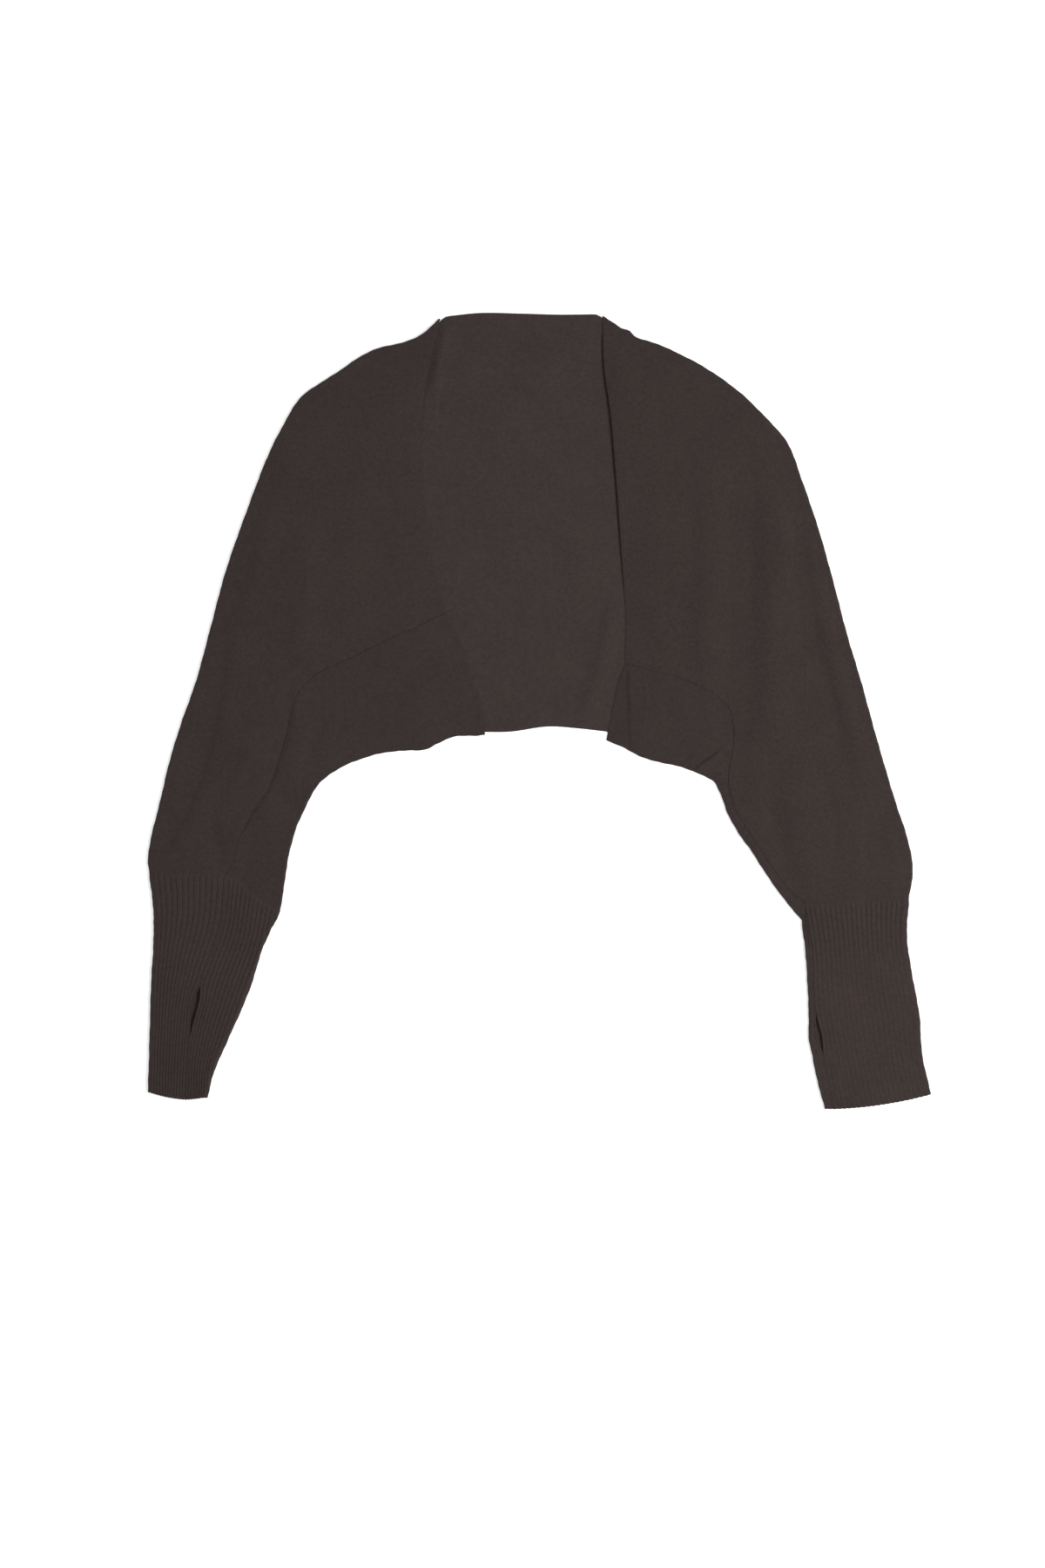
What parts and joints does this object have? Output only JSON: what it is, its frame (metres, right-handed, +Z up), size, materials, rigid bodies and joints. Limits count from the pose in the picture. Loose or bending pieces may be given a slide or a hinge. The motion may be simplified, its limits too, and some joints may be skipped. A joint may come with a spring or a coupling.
{
  "type": "knitted shrug",
  "caption": "Open-front dolman-sleeved knitted shrug with long ribbed thumb-slit cuffs, laid flat with its front up.",
  "frame": {"origin": "middle of the laid-out garment's outline, on the surface that it lies on", "axes": "+Z up from the surface, +Y from the cuffs towards the neck, +X to the right of a viewer who looks down on the front"},
  "size_m": [0.7174, 0.7298, 0.011],
  "materials": {
    "knit_cloth": "matte fine-gauge plain knit, dark charcoal brown",
    "rib_cloth": "matte fine-gauge rib knit, dark charcoal brown"
  },
  "bodies": {
    "root": {"back": "knit_cloth", "front_left": "knit_cloth", "front_right": "knit_cloth", "lower_front_left": "knit_cloth", "lower_front_right": "knit_cloth", "cuff_left_front_outer": "rib_cloth", "cuff_left_front_inner": "rib_cloth", "cuff_left_back": "rib_cloth", "cuff_right_front_outer": "rib_cloth", "cuff_right_front_inner": "rib_cloth", "cuff_right_back": "rib_cloth"}
  },
  "joints": []
}
